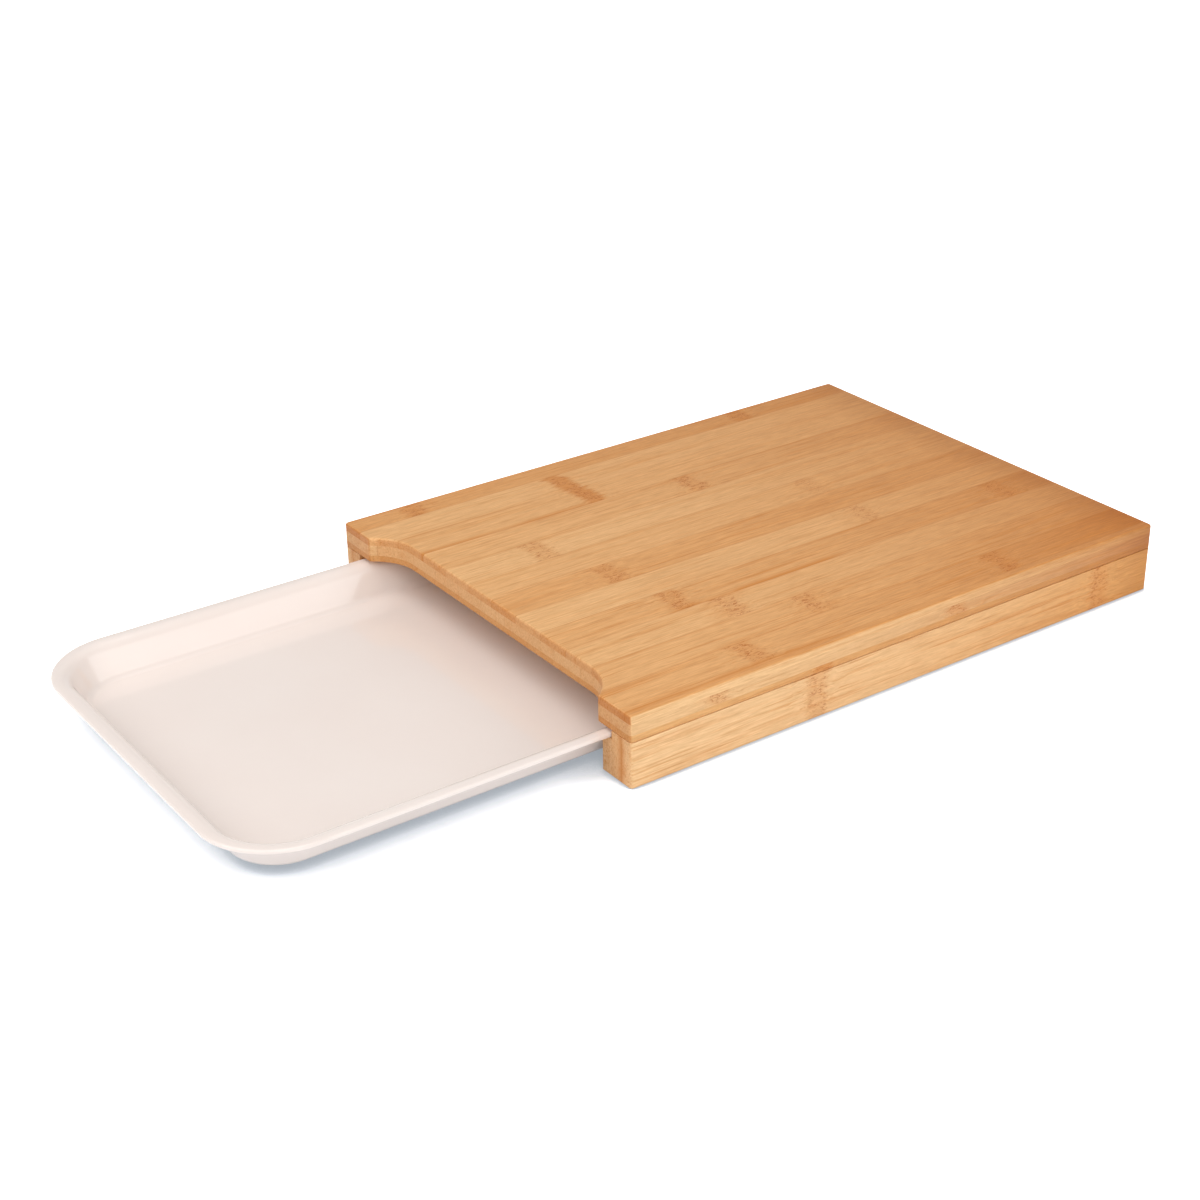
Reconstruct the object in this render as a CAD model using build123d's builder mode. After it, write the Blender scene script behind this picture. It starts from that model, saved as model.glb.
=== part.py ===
"""Bamboo cutting board that houses one pull-out tray.

The board is a three-ply panel of bamboo strips, glued on two laminated side rails and a
laminated back rail. A moulded tray hangs by its lip in a groove along each side rail and
slides out at the front, where the panel has a wide scrap cut-out.

Millimetres. +X runs along the grain from the front, where the tray comes out, to the back.
+Y is to the left for someone who faces the front, and +Z is up. The origin is on the
surface that the board stands on, in the middle of the whole with its tray pulled out.
"""
import os
from math import cos, radians, tan

from build123d import *

# ---------------------------------------------------------------- the board
board_length = 380.0
board_width = 290.0
corner_radius = 2.0  # upright corners
edge_radius = 1.6  # along the cutting surface
foot_radius = 1.0  # along the undersides of the rails

# ---------------------------------------------------------------- the three-ply panel
top_ply = 4.8
core_ply = 6.5
bottom_ply = 4.2
strip_pitch = 24.2
top_first_strip = 5.5  # width of the partial strip along the right edge
core_first_strip = 16.5
narrowest_strip = 3.0  # a narrower remainder stays with its neighbour

# ---------------------------------------------------------------- the scrap cut-out
notch_depth = 14.5
notch_radius = 31.5
notch_inset = 55.0  # from the board's side to where the straight wall of the cut-out starts
notch_mouth_radius = 2.0  # where the cut-out meets the front
notch_edge_radius = 1.0  # along its lower edge

# ---------------------------------------------------------------- the rails
rail_height = 27.0
outer_lamination = 8.1
middle_lamination = 8.4
ledge_lamination = 7.9
groove_height = 5.0  # between the ledge that carries the tray and the panel
back_lamination = 8.1

# ---------------------------------------------------------------- the tray
tray_out = 209.0  # how far the tray is pulled out
tray_wall = 2.5
wall_lean = 27.0  # degrees from upright
lip_thickness = 2.8
lip_round = 1.2  # along the lip's outer edge
lip_inner_round = 6.0  # where the lip turns down into the tray
rim_corner_radius = 43.0
floor_fillet = 7.0
table_clearance = 4.0  # below the tray
lip_clearance = 0.2  # above the ledge
side_clearance = 1.2  # from the lip to the groove's wall
wall_clearance = 0.6  # from the tray's wall to the ledge lamination
stop_clearance = 1.0  # from the closed tray to the back rail

# ---------------------------------------------------------------- worked out from the above
front_x = (tray_out - board_length) / 2
back_x = front_x + board_length
half_width = board_width / 2
core_z = rail_height + bottom_ply
top_z = core_z + core_ply
board_height = top_z + top_ply

groove_wall_y = half_width - outer_lamination - middle_lamination
ledge_face_y = groove_wall_y - ledge_lamination
ledge_height = rail_height - groove_height
back_rail_thickness = 3 * back_lamination
back_rail_x = back_x - back_rail_thickness

parts_folder = "parts"
os.makedirs(parts_folder, exist_ok=True)


def save(piece, name):
    """Label a finished piece and write it under its own name."""
    piece.part.label = name
    export_step(piece.part, f"{parts_folder}/{name}.step")


def saw_out(name, blank, x_span, y_span, z_span):
    """Write the part of a rounded blank that lies between three pairs of flat joints."""
    x_low, x_high = x_span
    y_low, y_high = y_span
    z_low, z_high = z_span
    with BuildPart() as piece:
        add(blank)
        with BuildSketch(Plane.XY.offset(z_low)):
            with Locations(((x_low + x_high) / 2, (y_low + y_high) / 2)):
                Rectangle(x_high - x_low, y_high - y_low)
        extrude(amount=z_high - z_low, mode=Mode.INTERSECT)
    save(piece, name)


def strip_spans(first_strip):
    """Give each strip's span across the board, from the right edge, for one ply."""
    joints = [-half_width]
    joint = -half_width + first_strip
    while joint < half_width - narrowest_strip:
        joints.append(joint)
        joint += strip_pitch
    joints.append(half_width)
    return list(zip(joints[:-1], joints[1:]))


# ---------------------------------------------------------------- panel
# The whole panel is shaped first, so that its rounded edges run on from strip to strip.
with BuildPart() as panel:
    with BuildSketch(Plane.XY.offset(rail_height)) as panel_outline:
        with Locations(((front_x + back_x) / 2, 0)):
            Rectangle(board_length, board_width)
        with Locations((front_x + notch_depth - notch_radius, 0)):
            SlotCenterToCenter(
                board_width - 2 * notch_inset, 2 * notch_radius, rotation=90, mode=Mode.SUBTRACT
            )
        front_vertices = panel_outline.vertices().group_by(Axis.X)[0]
        fillet(front_vertices.sort_by(Axis.Y)[1:-1], radius=notch_mouth_radius)
        board_corners = panel_outline.vertices().filter_by(lambda v: abs(v.Y) > half_width - 0.001)
        fillet(board_corners, radius=corner_radius)
    extrude(amount=board_height - rail_height)
    fillet(panel.faces().sort_by(Axis.Z)[-1].edges(), radius=edge_radius)
    lower_edges = panel.faces().sort_by(Axis.Z)[0].edges()
    cut_out_edges = lower_edges.filter_by(
        lambda e: front_x + 0.001 < e.center().X < front_x + notch_depth + 0.001
        and abs(e.center().Y) < half_width - 2 * corner_radius
    )
    fillet(cut_out_edges, radius=notch_edge_radius)

plies = {
    "top_strip": (top_z, board_height, strip_spans(top_first_strip)),
    "core_strip": (core_z, top_z, strip_spans(core_first_strip)),
}
# The bottom ply is laid like the top ply turned over.
bottom_spans = [(-high, -low) for low, high in reversed(strip_spans(top_first_strip))]
plies["bottom_strip"] = (rail_height, core_z, bottom_spans)

for ply, (z_low, z_high, spans) in plies.items():
    for number, y_span in enumerate(spans, start=1):
        saw_out(f"{ply}_{number:02d}", panel.part, (front_x, back_x), y_span, (z_low, z_high))

# ---------------------------------------------------------------- rails
# The rails are laminations of one blank with the board's outline, rounded along its foot.
with BuildPart() as rails:
    with BuildSketch():
        with Locations(((front_x + back_x) / 2, 0)):
            RectangleRounded(board_length, board_width, corner_radius)
    extrude(amount=rail_height)
    fillet(rails.faces().sort_by(Axis.Z)[0].edges(), radius=foot_radius)

side_laminations = {
    "outer": ((groove_wall_y + middle_lamination, half_width), back_x, rail_height),
    "middle": ((groove_wall_y, groove_wall_y + middle_lamination), back_x, rail_height),
    "ledge": ((ledge_face_y, groove_wall_y), back_rail_x, ledge_height),
}
for layer, ((y_low, y_high), end_x, height) in side_laminations.items():
    saw_out(f"left_rail_{layer}", rails.part, (front_x, end_x), (y_low, y_high), (0, height))
    saw_out(f"right_rail_{layer}", rails.part, (front_x, end_x), (-y_high, -y_low), (0, height))

for step, layer in enumerate(("inner", "middle", "outer")):
    x_low = back_rail_x + step * back_lamination
    x_span = (x_low, x_low + back_lamination)
    saw_out(f"back_rail_{layer}", rails.part, x_span, (-groove_wall_y, groove_wall_y), (0, rail_height))

# ---------------------------------------------------------------- tray
# The lip sits in the grooves, and the sloping walls hang between the ledges.
tray_length = board_length - back_rail_thickness - stop_clearance
tray_width = 2 * (groove_wall_y - side_clearance)
tray_middle_x = front_x - tray_out + tray_length / 2
lip_low_z = ledge_height + lip_clearance
lip_top_z = lip_low_z + lip_thickness
floor_z = table_clearance + tray_wall
lean = tan(radians(wall_lean))
wall_across = tray_wall / cos(radians(wall_lean))
lip_reach = tray_width / 2 - (ledge_face_y - wall_clearance)


def inset_outline(inset):
    """Draw the tray's outline, moved inwards by a distance with its corners to match."""
    with Locations((tray_middle_x, 0)):
        RectangleRounded(tray_length - 2 * inset, tray_width - 2 * inset, rim_corner_radius - inset)


outer_inset_low = lip_reach + (lip_low_z - table_clearance) * lean
inner_inset_top = lip_reach + wall_across - lip_thickness * lean
inner_inset_low = inner_inset_top + (lip_top_z - floor_z) * lean
with BuildPart() as tray:
    with BuildSketch(Plane.XY.offset(table_clearance)):
        inset_outline(outer_inset_low)
    with BuildSketch(Plane.XY.offset(lip_low_z)):
        inset_outline(lip_reach)
    loft(ruled=True)
    with BuildSketch(Plane.XY.offset(lip_low_z)):
        inset_outline(0)
    extrude(amount=lip_thickness)
    with BuildSketch(Plane.XY.offset(floor_z)):
        inset_outline(inner_inset_low)
    with BuildSketch(Plane.XY.offset(lip_top_z)):
        inset_outline(inner_inset_top)
    loft(ruled=True, mode=Mode.SUBTRACT)
    floor_edges = tray.faces().filter_by(lambda f: abs(f.center().Z - floor_z) < 0.001)[0].edges()
    fillet(floor_edges, radius=floor_fillet)
    fillet(tray.faces().sort_by(Axis.Z)[0].edges(), radius=floor_fillet + tray_wall)
    lip_top = tray.faces().sort_by(Axis.Z)[-1]
    fillet(lip_top.inner_wires()[0].edges(), radius=lip_inner_round)
    lip_top = tray.faces().sort_by(Axis.Z)[-1]
    fillet(lip_top.outer_wire().edges(), radius=lip_round)
    lip_under = tray.faces().filter_by(lambda f: abs(f.center().Z - lip_low_z) < 0.001)[0]
    fillet(lip_under.outer_wire().edges(), radius=lip_round)
save(tray, "tray")
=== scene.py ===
# %% [markdown]
# # A bamboo cutting board with a pull-out tray
# The real board is a three-ply panel of bamboo strips on two laminated rails. A glossy
# moulded tray hangs by its lip between the rails and slides out below the panel.
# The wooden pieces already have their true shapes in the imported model, so Blender only
# gives them their finish. The tray is swept again as a smooth surface, because a gloss
# shows every facet of a coarse mesh.

import math

import bpy
from mathutils import Matrix, Vector


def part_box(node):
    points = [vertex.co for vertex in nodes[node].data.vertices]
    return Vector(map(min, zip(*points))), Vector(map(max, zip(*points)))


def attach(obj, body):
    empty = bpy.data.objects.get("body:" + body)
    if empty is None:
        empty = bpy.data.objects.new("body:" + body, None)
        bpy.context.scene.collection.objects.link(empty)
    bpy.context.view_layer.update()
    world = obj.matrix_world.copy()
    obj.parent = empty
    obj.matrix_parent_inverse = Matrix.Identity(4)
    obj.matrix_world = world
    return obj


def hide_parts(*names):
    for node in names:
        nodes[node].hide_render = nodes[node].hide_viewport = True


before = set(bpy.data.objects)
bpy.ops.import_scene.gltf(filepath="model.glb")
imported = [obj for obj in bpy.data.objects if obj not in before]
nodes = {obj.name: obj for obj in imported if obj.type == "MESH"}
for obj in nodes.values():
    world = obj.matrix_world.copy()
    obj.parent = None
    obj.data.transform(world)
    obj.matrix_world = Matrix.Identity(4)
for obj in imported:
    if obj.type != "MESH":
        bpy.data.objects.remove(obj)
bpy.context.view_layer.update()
print("pieces in the packed model:", len(nodes))

# %% [markdown]
# ## The camera
# A product photograph like this one is taken from above one corner with a longish lens,
# so that the board's long edges stay nearly parallel. The camera's place is in the
# object's own frame, in metres, and its direction is three turns: round, down and roll.

# %% Place the camera
LENS = 63.9  # millimetres, as is the sensor's width
SENSOR = 36.0
CAMERA_PLACE = Vector((-0.6234, -0.8894, 0.5733))
HEADING = math.radians(55.04)  # from +X towards +Y
TILT_DOWN = math.radians(26.86)
ROLL = math.radians(-0.86)

camera_data = bpy.data.cameras.new("camera")
camera_data.sensor_width = SENSOR
camera_data.lens = LENS
camera_data.clip_start = 0.01
camera = bpy.data.objects.new("camera", camera_data)
bpy.context.scene.collection.objects.link(camera)
turn_round = Matrix.Rotation(HEADING - math.pi / 2, 4, "Z")
turn_down = Matrix.Rotation(math.pi / 2 - TILT_DOWN, 4, "X")
turn_level = Matrix.Rotation(ROLL, 4, "Z")
camera.matrix_world = Matrix.Translation(CAMERA_PLACE) @ turn_round @ turn_down @ turn_level
bpy.context.scene.camera = camera
print("camera at", tuple(CAMERA_PLACE), "lens", LENS, "mm")

# %% [markdown]
# ## Small helpers for node trees
# Shader trees and geometry trees are both wired by hand in the code. One helper adds a
# node, sets its options and fills or links its inputs, which keeps each finish readable.


# %% A helper that adds and wires nodes
def add_node(tree, kind, inputs=None, **options):
    """Add a node, set its options, and set or link its inputs by name or number."""
    node = tree.nodes.new(kind)
    for name, value in options.items():
        setattr(node, name, value)
    for key, value in (inputs or {}).items():
        if isinstance(value, bpy.types.NodeSocket):
            tree.links.new(value, node.inputs[key])
        else:
            node.inputs[key].default_value = value
    return node


def calculate(tree, operation, first, second=0.0, third=0.0, clamp=False):
    """Add one Math node and give its result."""
    inputs = {0: first, 1: second, 2: third}
    return add_node(tree, "ShaderNodeMath", inputs, operation=operation, use_clamp=clamp).outputs[0]


def blend_colours(tree, factor, first, second):
    """Mix two colours by a factor and give the result."""
    # A Mix node has a set of sockets for each kind of data. 6 and 7 take the two colours.
    inputs = {0: factor, 6: first, 7: second}
    return add_node(tree, "ShaderNodeMix", inputs, data_type="RGBA").outputs[2]


def srgb(red, green, blue):
    """Turn a colour as it shows on a screen, 0 to 255, into the linear colour shaders use."""

    def linear(value):
        value /= 255
        return value / 12.92 if value <= 0.04045 else ((value + 0.055) / 1.055) ** 2.4

    return (linear(red), linear(green), linear(blue), 1.0)


WHITE = (1.0, 1.0, 1.0, 1.0)

# %% [markdown]
# ## Bamboo
# Bamboo has no growth rings. Its stem is a bundle of straight fibres, so the wood is one
# pattern pulled out along the grain: streaks on the long faces and dots on the sawn ends.
# Noise that is stretched along X gives both from the same three-dimensional field, which a
# picture wrapped round the board could not do. At each node of the stem the fibres swerve
# and cross, which shows as a band of short curled marks. Every strip was cut from another
# stem, so one shared group holds the pattern, and each strip gets its own tone, shift,
# nodes and stained edges.

# %% The sizes of the fibre pattern, in millimetres along and across the grain
FIBRE = (13.0, 0.95)
BUNDLE = (80.0, 1.2)
TONE_BAND = (140.0, 5.0)
CLOUD = (50.0, 14.0)
CURL = (5.5, 1.5)
CURL_GAP = (5.0, 3.0)
FLECK = (3.6, 0.6)
BEND = (9.0, 4.0)  # the swerves of single fibres at a stem node
BEND_REACH = 6.0
WOBBLE = (60.0, 2.4)  # how ragged a stem node's place is from fibre to fibre
WOBBLE_REACH = 15.0
STAIN_PATCH = (40.0, 30.0)
END_DOT = (9.0, 0.75, 2.6)  # along the grain, across it and up

# Other sizes of the pattern, in millimetres.
NODE_HALF_WIDTH = 6.0
NODE_SWERVE_REACH = 26.0
EDGE_STAIN_WIDTH = 4.5
EDGE_STAIN_FADE = 12.0
THINNEST_STAIN = 0.3
GLUE_LINE = 0.4
BACK_SHADE = 38.0  # length of the shaded stretch before the board's back
FAR_AWAY = 900.0  # puts an edge or a stem node that isn't wanted outside the board

# How the tone runs along the board.
TONE_CURVE = 2.0  # above 1, the front's tone reaches further back
BACK_LIGHT = 0.87  # how light the shaded stretch is at its end

GROUP_INPUTS = {
    "Front colour": ("NodeSocketColor", (0.7, 0.4, 0.2, 1)),
    "Back colour": ("NodeSocketColor", (0.6, 0.3, 0.1, 1)),
    "Side front": ("NodeSocketColor", (0.7, 0.4, 0.2, 1)),
    "Side back": ("NodeSocketColor", (0.6, 0.3, 0.1, 1)),
    "Amber": ("NodeSocketColor", (0.5, 0.25, 0.08, 1)),
    "Brown": ("NodeSocketColor", (0.4, 0.16, 0.05, 1)),
    "Shift": ("NodeSocketVector", (0, 0, 0)),
    "Streaks": ("NodeSocketFloat", 0.5),
    "End tint": ("NodeSocketFloat", 0.2),
}
for side in ("Low", "High"):
    GROUP_INPUTS[f"{side} edge at"] = ("NodeSocketFloat", FAR_AWAY)
    GROUP_INPUTS[f"{side} edge stain"] = ("NodeSocketFloat", 0.0)
    GROUP_INPUTS[f"{side} edge from"] = ("NodeSocketFloat", -FAR_AWAY)
    GROUP_INPUTS[f"{side} edge to"] = ("NodeSocketFloat", FAR_AWAY)
for number in (1, 2):
    GROUP_INPUTS[f"Node {number} at"] = ("NodeSocketFloat", FAR_AWAY)
    GROUP_INPUTS[f"Node {number} curls"] = ("NodeSocketFloat", 0.0)
    GROUP_INPUTS[f"Node {number} stain"] = ("NodeSocketFloat", 0.0)
print("inputs of the bamboo group:", len(GROUP_INPUTS))


# %% Steps that the bamboo group repeats
GREEN_POWER = 1.35
BLUE_POWER = 1.8


def scaled_noise(tree, place, size, detail=2.0, roughness=0.5, distortion=0.0):
    """Noise whose grains are size[0] long and size[1] wide, in millimetres."""
    inputs = {0: place, 1: (1 / size[0], 1 / size[1], 1 / size[1])}
    stretched = add_node(tree, "ShaderNodeVectorMath", inputs, operation="MULTIPLY").outputs[0]
    settings = {"Vector": stretched, "Scale": 1.0, "Detail": detail}
    settings.update({"Roughness": roughness, "Distortion": distortion})
    return add_node(tree, "ShaderNodeTexNoise", settings, noise_dimensions="3D").outputs[0]


def ramp(tree, value, start, end, low=0.0, high=1.0):
    """Turn a value from start to end smoothly into one from low to high."""
    inputs = {"Value": value, "From Min": start, "From Max": end, "To Min": low, "To Max": high}
    return add_node(tree, "ShaderNodeMapRange", inputs, interpolation_type="SMOOTHSTEP").outputs[0]


def product(tree, *values):
    """Multiply several values."""
    result = values[0]
    for value in values[1:]:
        result = calculate(tree, "MULTIPLY", result, value)
    return result


def warm_shade(tree, colour, light):
    """Scale a colour, its green and blue more than its red, so that dark fibres are warm."""
    green = calculate(tree, "POWER", light, GREEN_POWER)
    blue = calculate(tree, "POWER", light, BLUE_POWER)
    factors = add_node(tree, "ShaderNodeCombineXYZ", {0: light, 1: green, 2: blue}).outputs[0]
    inputs = {0: colour, 1: factors}
    return add_node(tree, "ShaderNodeVectorMath", inputs, operation="MULTIPLY").outputs[0]


def stem_node(tree, along, wobble, given, number):
    """Give how far a point is into one stem node's curls, stain and swerving fibres."""
    centre = calculate(tree, "ADD", given[f"Node {number} at"], wobble)
    away = calculate(tree, "ABSOLUTE", calculate(tree, "SUBTRACT", along, centre))
    band = ramp(tree, away, NODE_HALF_WIDTH * 1.6, NODE_HALF_WIDTH * 0.6)
    swerve = ramp(tree, away, NODE_SWERVE_REACH, NODE_HALF_WIDTH)
    curls = product(tree, band, given[f"Node {number} curls"])
    stain = product(tree, band, given[f"Node {number} stain"])
    return curls, stain, product(tree, swerve, given[f"Node {number} curls"])


def edge_stain(tree, along, distance, given, side, patches):
    """Stain a band beside a glued edge, between two places along the strip."""
    amount = given[f"{side} edge stain"]
    width = calculate(tree, "MULTIPLY_ADD", amount, EDGE_STAIN_WIDTH, THINNEST_STAIN)
    share = calculate(tree, "DIVIDE", distance, width)
    across = calculate(tree, "SUBTRACT", 1.0, share, clamp=True)
    past_start = calculate(tree, "SUBTRACT", along, given[f"{side} edge from"])
    before_end = calculate(tree, "SUBTRACT", given[f"{side} edge to"], along)
    inside = calculate(tree, "MINIMUM", past_start, before_end)
    within = ramp(tree, inside, -EDGE_STAIN_FADE, EDGE_STAIN_FADE)
    return product(tree, across, within, patches, amount)


# %% The bamboo group
def bamboo_group():
    """Build the shared pattern: colour, roughness and height from a place in the wood."""
    tree = bpy.data.node_groups.new("bamboo", "ShaderNodeTree")
    for name, (kind, value) in GROUP_INPUTS.items():
        socket = tree.interface.new_socket(name, in_out="INPUT", socket_type=kind)
        socket.default_value = value
    tree.interface.new_socket("Colour", in_out="OUTPUT", socket_type="NodeSocketColor")
    tree.interface.new_socket("Roughness", in_out="OUTPUT", socket_type="NodeSocketFloat")
    tree.interface.new_socket("Height", in_out="OUTPUT", socket_type="NodeSocketFloat")
    given = add_node(tree, "NodeGroupInput").outputs

    # Places in millimetres, x counted from the board's front.
    coordinates = add_node(tree, "ShaderNodeTexCoord")
    inputs = {0: coordinates.outputs["Object"], "Scale": 1000.0}
    place = add_node(tree, "ShaderNodeVectorMath", inputs, operation="SCALE").outputs[0]
    x, y, _ = add_node(tree, "ShaderNodeSeparateXYZ", {0: place}).outputs
    x = calculate(tree, "SUBTRACT", x, 1000 * BOARD_FRONT)
    shifted = add_node(tree, "ShaderNodeVectorMath", {0: place, 1: given["Shift"]}).outputs[0]

    # Where the stem's nodes are, and how far the fibres swerve around them.
    wobble = scaled_noise(tree, shifted, WOBBLE)
    wobble = product(tree, calculate(tree, "SUBTRACT", wobble, 0.5), WOBBLE_REACH)
    curls_1, stain_1, swerve_1 = stem_node(tree, x, wobble, given, 1)
    curls_2, stain_2, swerve_2 = stem_node(tree, x, wobble, given, 2)
    curls = calculate(tree, "MAXIMUM", curls_1, curls_2)
    stain = calculate(tree, "MAXIMUM", stain_1, stain_2)
    swerve = calculate(tree, "MAXIMUM", swerve_1, swerve_2)
    bend = scaled_noise(tree, shifted, BEND, detail=1.0)
    bend = product(tree, calculate(tree, "SUBTRACT", bend, 0.5), swerve, BEND_REACH)
    sideways = add_node(tree, "ShaderNodeCombineXYZ", {1: bend, 2: bend}).outputs[0]
    fibre_place = add_node(tree, "ShaderNodeVectorMath", {0: shifted, 1: sideways}).outputs[0]

    fibre = scaled_noise(tree, fibre_place, FIBRE, detail=3.0, roughness=0.7)
    bundle = scaled_noise(tree, fibre_place, BUNDLE, roughness=0.65)
    tone_band = scaled_noise(tree, fibre_place, TONE_BAND)
    cloud = scaled_noise(tree, shifted, CLOUD)

    # Tone: one colour at the front and one at the back, with amber bands and lines. The
    # side of a strip may be paler than its face.
    along = calculate(tree, "DIVIDE", x, BOARD_LENGTH, clamp=True)
    along = calculate(tree, "POWER", along, TONE_CURVE)
    normal = add_node(tree, "ShaderNodeSeparateXYZ", {0: coordinates.outputs["Normal"]}).outputs
    side = ramp(tree, calculate(tree, "ABSOLUTE", normal[1]), 0.4, 0.9)
    front = blend_colours(tree, side, given["Front colour"], given["Side front"])
    back = blend_colours(tree, side, given["Back colour"], given["Side back"])
    colour = blend_colours(tree, along, front, back)
    amber = product(tree, ramp(tree, tone_band, 0.49, 0.82), given["Streaks"])
    colour = blend_colours(tree, amber, colour, given["Amber"])
    amber_lines = product(tree, ramp(tree, bundle, 0.54, 0.68), given["Streaks"])
    colour = blend_colours(tree, amber_lines, colour, given["Amber"])

    # Light and dark: single fibres, bundles, wide clouds, and the board's back.
    light = calculate(tree, "MULTIPLY_ADD", fibre, 0.62, 0.69)
    light = product(tree, light, calculate(tree, "MULTIPLY_ADD", bundle, -0.10, 1.05))
    light = product(tree, light, calculate(tree, "MULTIPLY_ADD", cloud, 0.10, 0.95))
    at_back = ramp(tree, x, BOARD_LENGTH - BACK_SHADE, BOARD_LENGTH, 1.0, BACK_LIGHT)
    light = product(tree, light, at_back)
    colour = warm_shade(tree, colour, light)

    # The glued edges: stained stretches, and a hairline of glue.
    patches = scaled_noise(tree, shifted, STAIN_PATCH, detail=1.0)
    patches = ramp(tree, patches, 0.30, 0.55, 0.45, 1.0)
    from_low = calculate(tree, "SUBTRACT", y, given["Low edge at"])
    from_high = calculate(tree, "SUBTRACT", given["High edge at"], y)
    low = edge_stain(tree, x, from_low, given, "Low", patches)
    high = edge_stain(tree, x, from_high, given, "High", patches)
    colour = blend_colours(tree, calculate(tree, "MAXIMUM", low, high), colour, given["Amber"])
    nearest = calculate(tree, "MINIMUM", from_low, from_high)
    glue = ramp(tree, nearest, GLUE_LINE, 0.0, 0.0, 0.30)
    colour = blend_colours(tree, glue, colour, given["Brown"])

    # The stem's nodes: a stained band with curled lines and short flecks.
    curl = scaled_noise(tree, shifted, CURL, detail=1.0, distortion=1.1)
    curl = calculate(tree, "ABSOLUTE", calculate(tree, "SUBTRACT", curl, 0.5))
    fleck = scaled_noise(tree, shifted, FLECK, detail=1.0, distortion=0.6)
    marks = calculate(tree, "MAXIMUM", ramp(tree, curl, 0.05, 0.01), ramp(tree, fleck, 0.60, 0.70))
    broken = ramp(tree, scaled_noise(tree, shifted, CURL_GAP, detail=1.0), 0.36, 0.56)
    marks = product(tree, marks, broken, curls)
    clouded = product(tree, swerve, ramp(tree, cloud, 0.45, 0.7), 0.25)
    clouded = calculate(tree, "MAXIMUM", product(tree, stain, 0.8), clouded)
    colour = blend_colours(tree, clouded, colour, given["Amber"])
    colour = blend_colours(tree, marks, colour, given["Brown"])

    # The sawn ends: bundles cut across, standing in rows, and a deeper tone.
    end = ramp(tree, calculate(tree, "ABSOLUTE", normal[0]), 0.55, 0.85)
    inputs = {0: shifted, 1: tuple(1 / size for size in END_DOT)}
    dot_place = add_node(tree, "ShaderNodeVectorMath", inputs, operation="MULTIPLY").outputs[0]
    dots = add_node(tree, "ShaderNodeTexVoronoi", {"Vector": dot_place, "Scale": 1.0})
    dots = ramp(tree, dots.outputs["Distance"], 0.45, 0.15)
    tint = calculate(tree, "MULTIPLY_ADD", dots, 0.12, given["End tint"])
    tint = product(tree, tint, ramp(tree, x, 3.0, 10.0, 1.9, 1.0))
    colour = blend_colours(tree, product(tree, end, tint), colour, given["Brown"])

    roughness = calculate(tree, "MULTIPLY_ADD", fibre, 0.16, 0.40)
    roughness = calculate(tree, "MULTIPLY_ADD", end, 0.12, roughness)
    height = calculate(tree, "SUBTRACT", fibre, product(tree, marks, 0.5))
    outputs = {"Colour": colour, "Roughness": roughness, "Height": height}
    add_node(tree, "NodeGroupOutput", outputs)
    return tree


board_low, board_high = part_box("top_strip_02")
BOARD_FRONT = board_low.x
BOARD_LENGTH = 1000 * (board_high.x - board_low.x)
BAMBOO = bamboo_group()
print("bamboo group:", len(BAMBOO.nodes), "nodes")

# %% [markdown]
# ### One bamboo finish for each piece
# A material reads the shared group and adds only what is its own. Constant values, such as
# how much the oiled wood reflects, sit on the shader's own sockets, where an export keeps
# them. A glued edge has at least a hairline of glue, and one that nothing is glued to has
# neither glue nor stain, which is written as None.

# %% A bamboo material
RELIEF = 0.0001  # metres
RELIEF_STRENGTH = 0.4
SHIFT_STEP = (173.0, 61.7, 47.3)  # moves each piece to its own place in the noise
AMBER = srgb(204, 128, 54)
BROWN = srgb(177, 96, 35)
NO_STAIN = (0.0, 0.0, 0.0)
NO_NODE = (FAR_AWAY, 0.0, 0.0)


def bamboo(name, colours, seed, streaks, end_tint, stains, stem_nodes, side_colours=None):
    """Make the finish of one piece from its own tone, stains and nodes, and put it on."""
    side_front, side_back = side_colours or colours
    material = bpy.data.materials.new(f"bamboo_{name}")
    material.use_nodes = True
    tree = material.node_tree
    tree.nodes.clear()
    pattern = add_node(tree, "ShaderNodeGroup", node_tree=BAMBOO)
    low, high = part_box(name)
    values = {
        "Front colour": colours[0],
        "Back colour": colours[1],
        "Side front": side_front,
        "Side back": side_back,
        "Amber": AMBER,
        "Brown": BROWN,
        "Shift": tuple(seed * step for step in SHIFT_STEP),
        "Streaks": streaks,
        "End tint": end_tint,
    }
    for side, edge, stain in (("Low", low.y, stains[0]), ("High", high.y, stains[1])):
        outer = -FAR_AWAY if side == "Low" else FAR_AWAY
        values[f"{side} edge at"] = outer if stain is None else 1000 * edge
        amount, begins, ends = stain or NO_STAIN
        values[f"{side} edge stain"] = amount
        values[f"{side} edge from"] = begins
        values[f"{side} edge to"] = ends
    two_nodes = (list(stem_nodes) + [NO_NODE, NO_NODE])[:2]
    for number, (place, curls, stain) in enumerate(two_nodes, start=1):
        values[f"Node {number} at"] = place
        values[f"Node {number} curls"] = curls
        values[f"Node {number} stain"] = stain
    for key, value in values.items():
        pattern.inputs[key].default_value = value
    inputs = {
        "Height": pattern.outputs["Height"],
        "Strength": RELIEF_STRENGTH,
        "Distance": RELIEF,
    }
    bump = add_node(tree, "ShaderNodeBump", inputs)
    inputs = {
        "Base Color": pattern.outputs["Colour"],
        "Roughness": pattern.outputs["Roughness"],
        "Normal": bump.outputs["Normal"],
        "IOR": 1.45,
        "Specular IOR Level": 0.32,
    }
    surface = add_node(tree, "ShaderNodeBsdfPrincipled", inputs)
    add_node(tree, "ShaderNodeOutputMaterial", {"Surface": surface.outputs[0]})
    piece = nodes[name]
    piece.data.materials.clear()
    piece.data.materials.append(material)


def tone(depth, pale, deep):
    """Give the colour between a pale and a deep one."""
    return tuple(p + (d - p) * depth for p, d in zip(pale, deep))


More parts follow.
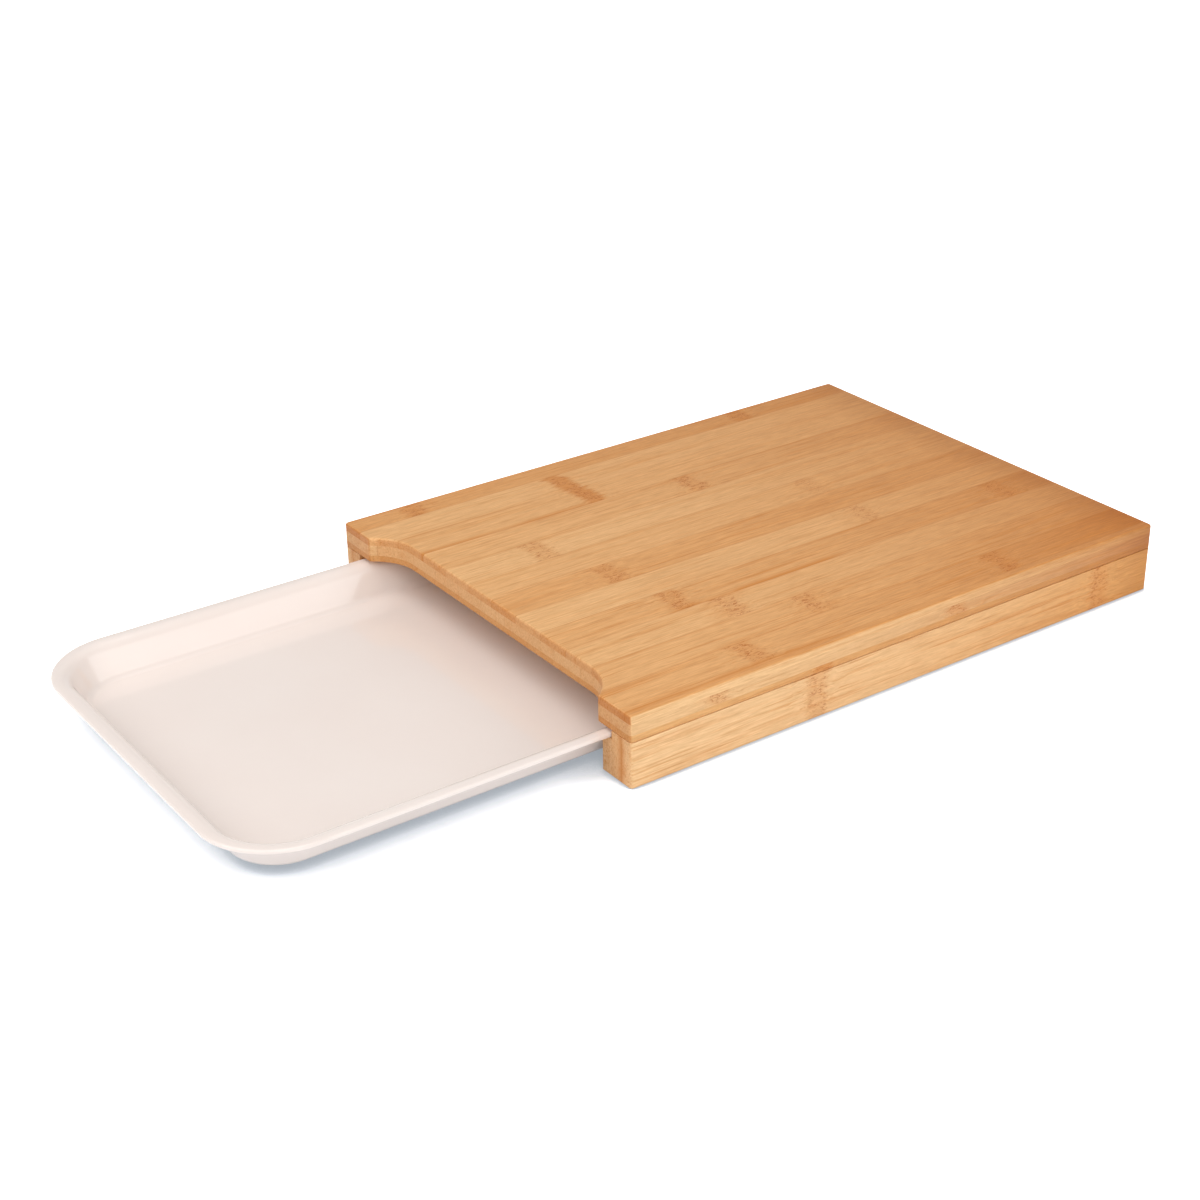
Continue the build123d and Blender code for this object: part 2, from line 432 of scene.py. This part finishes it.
print("relief of the bamboo:", RELIEF * 1000, "mm")

# %% [markdown]
# ### The strips of the cutting surface
# The strips are listed from the right edge, nearest the camera, to the left edge. Each has
# its tone at the front and at the back, from 0, pale, to 1, deep honey. Then come the
# stains on its right and left glued edges, each with its strength and where it begins and
# ends, and its stem nodes, each with its place, how strong its curls are and how strong
# its stain is. All places are in millimetres from the board's front. The two outer strips
# show their sides too, which are paler than the oiled top.

# %% Finish the top ply
PALE = (srgb(229, 179, 123), srgb(215, 154, 94))
HONEY = (srgb(218, 157, 96), srgb(193, 115, 40))
SIDE_PALE = (srgb(236, 192, 138), srgb(194, 130, 66))
ALL_ALONG = (-20.0, 400.0)
TOP_END_TINT = 0.28
NARROW_STRIP_STREAKS = 0.3  # the first strip is only a sliver, with few streaks
TOP_STRIPS = (
    ((1.0, 0.6), (None, (0.6, -20, 150)), ()),
    ((0.6, 0.96), ((0.7, -20, 140), (0.2, *ALL_ALONG)), ((91, 0.9, 0.35), (273, 0.9, 0.5))),
    ((0.45, 0.6), ((0.3, *ALL_ALONG), (0.45, 20, 110)), ((154, 0.9, 0.25),)),
    ((0.17, 0.36), ((0.3, 160, 300), (0.3, 90, 210)), ((116, 0.9, 0.2),)),
    ((0.55, 0.6), ((1.0, 90, 205), (0.7, 145, 255)), ((96, 0.9, 0.35), (345, 0.9, 0.4))),
    ((0.1, 0.28), ((0.3, 345, 385), (0.25, 85, 300)), ((255, 0.6, 0.1),)),
    ((0.78, 0.44), ((0.35, 85, 300), (0.1, *ALL_ALONG)), ((87, 0.85, 0.3),)),
    ((0.33, 0.2), ((0.1, *ALL_ALONG), (0.35, 80, 200)), ((255, 0.5, 0.1),)),
    ((0.05, 0.2), ((0.2, 260, 300), (0.4, 20, 130)), ((71, 0.85, 0.25),)),
    ((0.4, 0.4), ((0.3, 20, 130), (0.5, 185, 385)), ((200, 0.95, 0.3),)),
    ((0.4, 0.04), ((0.9, 5, 132), (0.4, 15, 105)), ((139, 0.9, 0.9),)),
    ((0.22, 0.08), ((0.5, 15, 105), (0.1, *ALL_ALONG)), ((136, 0.9, 0.9),)),
    ((0.95, 0.44), ((0.2, *ALL_ALONG), None), ((42, 0.85, 0.5), (292, 0.9, 0.6))),
)

for number, (depths, stains, stem_nodes) in enumerate(TOP_STRIPS, start=1):
    colours = [tone(depth, pale, deep) for depth, pale, deep in zip(depths, PALE, HONEY)]
    name = f"top_strip_{number:02d}"
    streaks = 0.25 + 0.25 * sum(depths) if number > 1 else NARROW_STRIP_STREAKS
    side_colours = SIDE_PALE if number in (1, len(TOP_STRIPS)) else None
    bamboo(name, colours, number, streaks, TOP_END_TINT, stains, stem_nodes, side_colours)
print("top strips finished:", len(TOP_STRIPS))

# %% [markdown]
# ### The core, the bottom ply and the rails
# The inner plies show only at the edges. The core is the palest and the bottom ply the
# deepest. The rails stand on edge, so their stem nodes run up their whole height. Where
# nothing is known of a hidden strip, its node and tone follow from its number.

# %% Finish the inner plies and the rails
CORE = (srgb(229, 184, 131), srgb(182, 114, 54))
DEEP_CORE = (srgb(228, 180, 126), srgb(186, 122, 64))
BOTTOM = (srgb(221, 166, 105), srgb(182, 112, 44))
DEEP_BOTTOM = (srgb(216, 160, 100), srgb(182, 112, 50))
RAIL = (srgb(236, 193, 141), srgb(210, 145, 74))
DEEP_RAIL = (srgb(222, 170, 116), srgb(202, 138, 76))
JOINT = (0.75, *ALL_ALONG)
RAIL_STAINS = {
    "right_rail_outer": (None, JOINT),
    "right_rail_middle": (JOINT, NO_STAIN),
    "left_rail_outer": (JOINT, None),
    "left_rail_middle": (NO_STAIN, JOINT),
}
PLY_TONE_STEP = 0.37  # from one strip to the next, so that neighbours differ
RAIL_TONE_STEP = 0.43
RAIL_STREAKS = 0.55
RAIL_END_TINT = 0.10
RAIL_FIRST_SEED = 60
NODES_IN_VIEW = {
    "core_strip_01": ((56, 0.7, 0.3), (223, 0.8, 0.4)),
    "bottom_strip_01": ((125, 0.8, 0.7),),
    "right_rail_outer": ((122, 0.7, 0.35), (338, 0.8, 0.35)),
}


def hidden_node(place):
    """Give one ordinary stem node at a place, for a piece that isn't in view."""
    return ((place, 0.8, 0.4),)


def finish_ply(ply, pale, deep, first_seed, streaks, end_tint):
    """Finish the strips of a hidden ply, each a little different."""
    last = len(TOP_STRIPS)
    for number in range(1, last + 1):
        name = f"{ply}_strip_{number:02d}"
        depth = (number - 1) * PLY_TONE_STEP % 1
        colours = [tone(depth, p, d) for p, d in zip(pale, deep)]
        elsewhere = hidden_node((number * 131 + first_seed) % 340 + 20)
        stem_nodes = NODES_IN_VIEW.get(name, elsewhere)
        stains = (None if number == 1 else NO_STAIN, None if number == last else NO_STAIN)
        bamboo(name, colours, first_seed + number, streaks, end_tint, stains, stem_nodes)


finish_ply("core", CORE, DEEP_CORE, 20, 0.3, 0.17)
finish_ply("bottom", BOTTOM, DEEP_BOTTOM, 40, 0.4, 0.23)

rail_pieces = sorted(name for name in nodes if "_rail_" in name)
for number, name in enumerate(rail_pieces):
    # The outer rail is the palest wood. The ledge gets the same palest tone as painted light, which
    # lifts it out of the shade it stands in.
    palest = name in ("right_rail_outer", "right_rail_ledge")
    depth = 0.0 if palest else (len(rail_pieces) - 1 - number) * RAIL_TONE_STEP % 1
    colours = [tone(depth, p, d) for p, d in zip(RAIL, DEEP_RAIL)]
    stem_nodes = NODES_IN_VIEW.get(name, hidden_node(number * 71 % 300 + 40))
    stains = RAIL_STAINS.get(name, (None, None))
    seed = RAIL_FIRST_SEED + number
    bamboo(name, colours, seed, RAIL_STREAKS, RAIL_END_TINT, stains, stem_nodes)
print("rail pieces finished:", len(rail_pieces))

# %% [markdown]
# ## The tray
# The real tray is moulded in one piece with a wall of even thickness. Its section never
# changes along the rim, so it is a profile swept round a rectangle with round corners.
# Geometry Nodes does this with the profile drawn once as a curve: each corner of the
# profile carries its rounding in the curve's radius, and the tree rounds, sweeps, closes
# the floor above and below, and welds the seams.

# %% The tray's sizes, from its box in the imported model
tray_low, tray_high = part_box("tray")
TRAY_LENGTH = tray_high.x - tray_low.x
TRAY_WIDTH = tray_high.y - tray_low.y
UNDERSIDE = tray_low.z
LIP_TOP = tray_high.z
RIM_CORNER_RADIUS = 0.043
WALL = 0.0025
LIP_THICKNESS = 0.0028
LIP_REACH = 0.0073  # from the rim's edge to the outside of the wall
WALL_LEAN = math.radians(27.0)  # from upright
LEAN = math.tan(WALL_LEAN)
FLOOR_TOP = UNDERSIDE + WALL
LIP_UNDER = LIP_TOP - LIP_THICKNESS
wall_across = WALL / math.cos(WALL_LEAN)
inner_top = LIP_REACH + wall_across - LIP_THICKNESS * LEAN
inner_low = inner_top + (LIP_TOP - FLOOR_TOP) * LEAN
outer_low = LIP_REACH + (LIP_UNDER - UNDERSIDE) * LEAN
FLAT_MARGIN = 0.014  # flat floor that belongs to the swept profile
print("tray", round(TRAY_LENGTH, 4), "by", round(TRAY_WIDTH, 4), "m")

# %% Draw the profile: inset from the rim, height, and rounding at each corner
TRAY_PROFILE = (
    (inner_low + FLAT_MARGIN, FLOOR_TOP, 0.0),
    (inner_low, FLOOR_TOP, 0.0045),
    (inner_top, LIP_TOP, 0.008),
    (0.0, LIP_TOP, 0.00135),
    (0.0, LIP_UNDER, 0.00135),
    (LIP_REACH, LIP_UNDER, 0.0007),
    (outer_low, UNDERSIDE, 0.0095),
    (inner_low + FLAT_MARGIN, UNDERSIDE, 0.0),
)
profile_curve = bpy.data.curves.new("tray_profile", "CURVE")
profile_curve.dimensions = "3D"
spline = profile_curve.splines.new("POLY")
spline.points.add(len(TRAY_PROFILE) - 1)
for point, (inset, height, rounding) in zip(spline.points, TRAY_PROFILE):
    point.co = (inset, height, 0.0, 1.0)
    point.radius = rounding
profile = bpy.data.objects.new("tray_profile", profile_curve)
bpy.context.scene.collection.objects.link(profile)
print("profile corners:", len(TRAY_PROFILE))

# %% [markdown]
# ### Sweeping the profile
# The tree takes the profile as its geometry and the tray's sizes as named inputs. The rim
# is a rectangle with filleted corners. A few extra points on its straight sides keep the
# shading of the corners from spreading along them. The two open ends of the swept skin lie
# flat in the floor, so each is closed by one level face.

# %% The tree that sweeps, closes and places the tray
SIDE_POINTS = 3
CORNER_STEPS = 36
ROUNDING_STEPS = 12
WELD = 0.00002
TREE_INPUTS = (
    ("Profile", "NodeSocketGeometry"),
    ("Length", "NodeSocketFloat"),
    ("Width", "NodeSocketFloat"),
    ("Corner radius", "NodeSocketFloat"),
    ("Floor top", "NodeSocketFloat"),
    ("Underside", "NodeSocketFloat"),
    ("Centre", "NodeSocketVector"),
    ("Finish", "NodeSocketMaterial"),
)


def level_face(tree, skin, open_edges, above, height):
    """Close the open end of the skin above or below mid height with one level face."""
    position = add_node(tree, "GeometryNodeInputPosition").outputs[0]
    z = add_node(tree, "ShaderNodeSeparateXYZ", {0: position}).outputs[2]
    middle = (FLOOR_TOP + UNDERSIDE) / 2
    side = calculate(tree, "GREATER_THAN" if above else "LESS_THAN", z, middle)
    chosen = calculate(tree, "MULTIPLY", open_edges, side)
    loop = add_node(tree, "GeometryNodeMeshToCurve", {"Mesh": skin, "Selection": chosen}).outputs[0]
    face = add_node(tree, "GeometryNodeFillCurve", {"Curve": loop}, mode="NGONS").outputs[0]
    lift = add_node(tree, "ShaderNodeCombineXYZ", {2: height}).outputs[0]
    inputs = {"Geometry": face, "Translation": lift}
    moved = add_node(tree, "GeometryNodeTransform", inputs).outputs[0]
    if above:
        return moved
    return add_node(tree, "GeometryNodeFlipFaces", {"Mesh": moved}).outputs[0]


def tray_tree():
    """Build the Geometry Nodes tree: profile in, closed and placed tray out."""
    tree = bpy.data.node_groups.new("sweep_tray", "GeometryNodeTree")
    for name, kind in TREE_INPUTS:
        tree.interface.new_socket(name, in_out="INPUT", socket_type=kind)
    tree.interface.new_socket("Tray", in_out="OUTPUT", socket_type="NodeSocketGeometry")
    given = add_node(tree, "NodeGroupInput").outputs

    # The rim: points along the straight sides, and only the four corners rounded.
    inputs = {"Width": given["Length"], "Height": given["Width"]}
    rim = add_node(tree, "GeometryNodeCurvePrimitiveQuadrilateral", inputs).outputs[0]
    inputs = {"Curve": rim, "Cuts": SIDE_POINTS}
    rim = add_node(tree, "GeometryNodeSubdivideCurve", inputs).outputs[0]
    index = add_node(tree, "GeometryNodeInputIndex").outputs[0]
    remainder = calculate(tree, "MODULO", index, SIDE_POINTS + 1)
    corner = calculate(tree, "LESS_THAN", remainder, 0.5)
    radius = calculate(tree, "MULTIPLY", corner, given["Corner radius"])
    inputs = {"Curve": rim, "Count": CORNER_STEPS, "Radius": radius}
    rim = add_node(tree, "GeometryNodeFilletCurve", inputs, mode="POLY").outputs[0]
    rim = add_node(tree, "GeometryNodeSetCurveNormal", {"Curve": rim}, mode="Z_UP").outputs[0]

    # The profile: each corner's rounding is its point's radius.
    rounding = add_node(tree, "GeometryNodeInputRadius").outputs[0]
    inputs = {"Curve": given["Profile"], "Count": ROUNDING_STEPS, "Radius": rounding}
    section = add_node(tree, "GeometryNodeFilletCurve", inputs, mode="POLY").outputs[0]
    inputs = {"Geometry": section, "Scale": (-1, -1, 1)}
    section = add_node(tree, "GeometryNodeTransform", inputs).outputs[0]
    inputs = {"Curve": rim, "Profile Curve": section}
    skin = add_node(tree, "GeometryNodeCurveToMesh", inputs).outputs[0]

    # The floor: one level face above and one below.
    faces_beside = add_node(tree, "GeometryNodeInputMeshEdgeNeighbors").outputs[0]
    open_edges = calculate(tree, "LESS_THAN", faces_beside, 1.5)
    floor_face = level_face(tree, skin, open_edges, True, given["Floor top"])
    under_face = level_face(tree, skin, open_edges, False, given["Underside"])
    join = add_node(tree, "GeometryNodeJoinGeometry")
    for part in (under_face, floor_face, skin):
        tree.links.new(part, join.inputs[0])
    inputs = {"Geometry": join.outputs[0], "Distance": WELD}
    welded = add_node(tree, "GeometryNodeMergeByDistance", inputs).outputs[0]
    inputs = {"Geometry": welded, "Translation": given["Centre"]}
    placed = add_node(tree, "GeometryNodeTransform", inputs).outputs[0]
    smooth = add_node(tree, "GeometryNodeSetShadeSmooth", {"Geometry": placed}).outputs[0]
    whole = add_node(tree, "GeometryNodeRealizeInstances", {"Geometry": smooth}).outputs[0]
    inputs = {"Geometry": whole, "Material": given["Finish"]}
    finished = add_node(tree, "GeometryNodeSetMaterial", inputs).outputs[0]
    add_node(tree, "NodeGroupOutput", {0: finished})
    return tree


# %% [markdown]
# ### The tray's gloss
# Moulded melamine or hard plastic is dyed right through and leaves a polished mould. Its
# colour hardly changes, but the surface isn't perfect: it has a faint orange-peel ripple,
# and handling dulls it in soft patches. Both are noise in the roughness and the bump.

# %% The tray's finish
CREAM = srgb(243, 232, 225)
CREAM_DEEP = srgb(239, 225, 217)


def tray_finish():
    """Make the glossy pale plastic of the tray."""
    material = bpy.data.materials.new("tray_gloss_cream")
    material.use_nodes = True
    tree = material.node_tree
    tree.nodes.clear()
    place = add_node(tree, "ShaderNodeTexCoord").outputs["Object"]
    place = add_node(tree, "ShaderNodeMapping", {"Vector": place}).outputs[0]
    drift = add_node(tree, "ShaderNodeTexNoise", {"Vector": place, "Scale": 14.0, "Detail": 3.0})
    peel = add_node(tree, "ShaderNodeTexNoise", {"Vector": place, "Scale": 210.0, "Detail": 1.0})
    colour = blend_colours(tree, drift.outputs[0], CREAM, CREAM_DEEP)
    roughness = calculate(tree, "MULTIPLY_ADD", drift.outputs[0], 0.06, 0.04)
    inputs = {"Height": peel.outputs[0], "Strength": 0.12, "Distance": 0.0002}
    bump = add_node(tree, "ShaderNodeBump", inputs)
    inputs = {
        "Base Color": colour,
        "Roughness": roughness,
        "Normal": bump.outputs["Normal"],
        "IOR": 1.52,
    }
    surface = add_node(tree, "ShaderNodeBsdfPrincipled", inputs)
    add_node(tree, "ShaderNodeOutputMaterial", {"Surface": surface.outputs[0]})
    return material


TRAY_GLOSS = tray_finish()
print("tray finish:", TRAY_GLOSS.name)


# %% Turn the tree's result into a plain mesh
def bake_nodes(source, tree, values, name):
    """Run a tree on an object with the given inputs, and give its mesh as a new object."""
    modifier = source.modifiers.new("shape", "NODES")
    modifier.node_group = tree
    for item in tree.interface.items_tree:
        if item.in_out == "INPUT" and item.name in values:
            modifier[item.identifier] = values[item.name]
    depsgraph = bpy.context.evaluated_depsgraph_get()
    mesh = bpy.data.meshes.new_from_object(source.evaluated_get(depsgraph), depsgraph=depsgraph)
    mesh.name = name
    piece = bpy.data.objects.new(name, mesh)
    bpy.context.scene.collection.objects.link(piece)
    source.modifiers.remove(modifier)
    bpy.data.objects.remove(source)
    return piece


tray_values = {
    "Length": TRAY_LENGTH,
    "Width": TRAY_WIDTH,
    "Corner radius": RIM_CORNER_RADIUS,
    "Floor top": FLOOR_TOP,
    "Underside": UNDERSIDE,
    "Centre": ((tray_low.x + tray_high.x) / 2, (tray_low.y + tray_high.y) / 2, 0.0),
    "Finish": TRAY_GLOSS,
}
tray = bake_nodes(profile, tray_tree(), tray_values, "moulded_tray")
tray.data.materials.clear()
tray.data.materials.append(TRAY_GLOSS)
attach(tray, "tray")
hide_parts("tray")
print("tray mesh:", len(tray.data.polygons), "faces")

# %% [markdown]
# ## The studio
# The board stands on a seamless white sweep. A large soft box above the camera is the key,
# and one overhead lights the cutting surface evenly. One at the left makes the front end of
# the board the brighter one, and a low one lifts the near side. One at the front right is
# there for the far wall of the tray, which mirrors it as a clean pale panel. The white of
# the background comes from the floor and the world as the camera sees them, and not from
# stronger lamps, so the object keeps its colours. A mirror reflection sees the white only
# near the horizon, as it would see the sweep, and a dim room above it.

# %% A white world that lights the object only gently
AMBIENT = 0.38
SWEEP_TOP = 0.40  # where the sweep has ended, as the height of a direction
SWEEP_FADE_FROM = 0.1  # where it begins to end


def seen_directly(tree, mirrored=1.0):
    """Give 1 where a ray comes from the camera, a mirror reflection or a see-through surface."""
    rays = add_node(tree, "ShaderNodeLightPath").outputs
    glossy = product(tree, rays["Is Glossy Ray"], mirrored)
    seen = calculate(tree, "MAXIMUM", rays["Is Camera Ray"], glossy)
    return calculate(tree, "MAXIMUM", seen, rays["Is Transmission Ray"])


world = bpy.data.worlds.new("studio")
world.use_nodes = True
bpy.context.scene.world = world
tree = world.node_tree
tree.nodes.clear()
ambient = add_node(tree, "ShaderNodeBackground", {"Color": WHITE, "Strength": AMBIENT})
backdrop = add_node(tree, "ShaderNodeBackground", {"Color": WHITE, "Strength": 1.0})
direction = add_node(tree, "ShaderNodeTexCoord").outputs["Generated"]
height = add_node(tree, "ShaderNodeSeparateXYZ", {0: direction}).outputs[2]
sweep = ramp(tree, height, SWEEP_TOP, SWEEP_FADE_FROM)
inputs = {0: seen_directly(tree, sweep), 1: ambient.outputs[0], 2: backdrop.outputs[0]}
mixed = add_node(tree, "ShaderNodeMixShader", inputs)
add_node(tree, "ShaderNodeOutputWorld", {"Surface": mixed.outputs[0]})
print("ambient light:", AMBIENT)

# %% [markdown]
# ### The floor
# A white sweep in a photograph is brighter than any paint, because it gets light of its
# Where the object stands close, the glow and the card's own colour fade into a painted
# shadow, narrowly where it touches and softly around it, and slightly blue. The card is
# painted darker only where it is seen, so the light it bounces up stays as it was.
# The card fades only where it is seen, so the light it bounces up stays as it was.

# %% Make the floor
FLOOR_HALF = 4.0
FLOOR_GLOW = 0.9
PAINTED_SHADOW_GLOW = (0.30, 0.325, 0.355, 1)
CONTACT_REACH = 0.006  # the painted thin dark line where wood touches the card
SHADOW_REACH = 0.030  # the painted soft shadow around it and under the tray
CARD = (0.86, 0.88, 0.91, 1)
CARD_PAINTED_SHADE = (0.30, 0.34, 0.38, 1)
AO_SAMPLES = 8

floor_mesh = bpy.data.meshes.new("floor")
signs = ((-1, -1), (1, -1), (1, 1), (-1, 1))
corners = [(x * FLOOR_HALF, y * FLOOR_HALF, 0.0) for x, y in signs]
floor_mesh.from_pydata(corners, [], [(0, 1, 2, 3)])
floor = bpy.data.objects.new("floor", floor_mesh)
bpy.context.scene.collection.objects.link(floor)
floor_paint = bpy.data.materials.new("white_sweep")
floor_paint.use_nodes = True
tree = floor_paint.node_tree
tree.nodes.clear()
# Painted shadow: two ambient occlusion masks, one narrow and one wide, darken the floor near the
# object.
inputs = {"Distance": CONTACT_REACH}
contact = add_node(tree, "ShaderNodeAmbientOcclusion", inputs, samples=AO_SAMPLES)
inputs = {"Distance": SHADOW_REACH}
shadow = add_node(tree, "ShaderNodeAmbientOcclusion", inputs, samples=AO_SAMPLES)
close_by = ramp(tree, contact.outputs["AO"], 0.50, 0.92)
around = ramp(tree, shadow.outputs["AO"], 0.05, 0.80)
outside_painted_shadow = product(tree, close_by, around)
bounced = calculate(tree, "SUBTRACT", 1.0, seen_directly(tree))
lit = calculate(tree, "MAXIMUM", outside_painted_shadow, bounced)
shade = blend_colours(tree, lit, CARD_PAINTED_SHADE, CARD)
card = add_node(tree, "ShaderNodeBsdfDiffuse", {"Color": shade})
full_glow = (FLOOR_GLOW, FLOOR_GLOW, FLOOR_GLOW, 1)
glow_colour = blend_colours(tree, outside_painted_shadow, PAINTED_SHADOW_GLOW, full_glow)
inputs = {"Color": glow_colour, "Strength": seen_directly(tree)}
glow = add_node(tree, "ShaderNodeEmission", inputs)
both = add_node(tree, "ShaderNodeAddShader", {0: card.outputs[0], 1: glow.outputs[0]})
add_node(tree, "ShaderNodeOutputMaterial", {"Surface": both.outputs[0]})
floor_mesh.materials.append(floor_paint)
print("floor:", 2 * FLOOR_HALF, "m wide")


# %% The soft boxes
def soft_box(name, place, target, width, height, power):
    """Add a rectangular lamp at a place, turned to face a target."""
    data = bpy.data.lights.new(name, "AREA")
    data.shape = "RECTANGLE"
    data.size = width
    data.size_y = height
    data.energy = power
    lamp = bpy.data.objects.new(name, data)
    bpy.context.scene.collection.objects.link(lamp)
    turn = (Vector(target) - Vector(place)).to_track_quat("-Z", "Y").to_matrix().to_4x4()
    lamp.matrix_world = Matrix.Translation(place) @ turn
    return lamp


# Places and sizes are in metres, and each lamp's last value is its power in watts.
TARGET = (0.05, 0.0, 0.03)
TRAY_FAR_WALL = (-0.255, 0.117, 0.02)
soft_box("key_box", (-0.6, -1.35, 1.35), TARGET, 1.2, 0.9, 6.6)
soft_box("overhead_box", (-0.3, 0.1, 1.6), TARGET, 1.2, 1.2, 7.4)
soft_box("left_box", (-1.3, 0.0, 1.0), TARGET, 1.2, 1.0, 8.2)
soft_box("low_box", (-0.5, -1.6, 0.35), TARGET, 1.4, 0.5, 2.8)
soft_box("front_right_box", (0.75, -1.05, 0.738), TRAY_FAR_WALL, 1.33, 0.6, 5.4)

# %% [markdown]
# ## Finish
# The view transform stays plain, so that colours come out as they are written.

# %% Keep the colours plain
bpy.context.scene.view_settings.view_transform = "Standard"
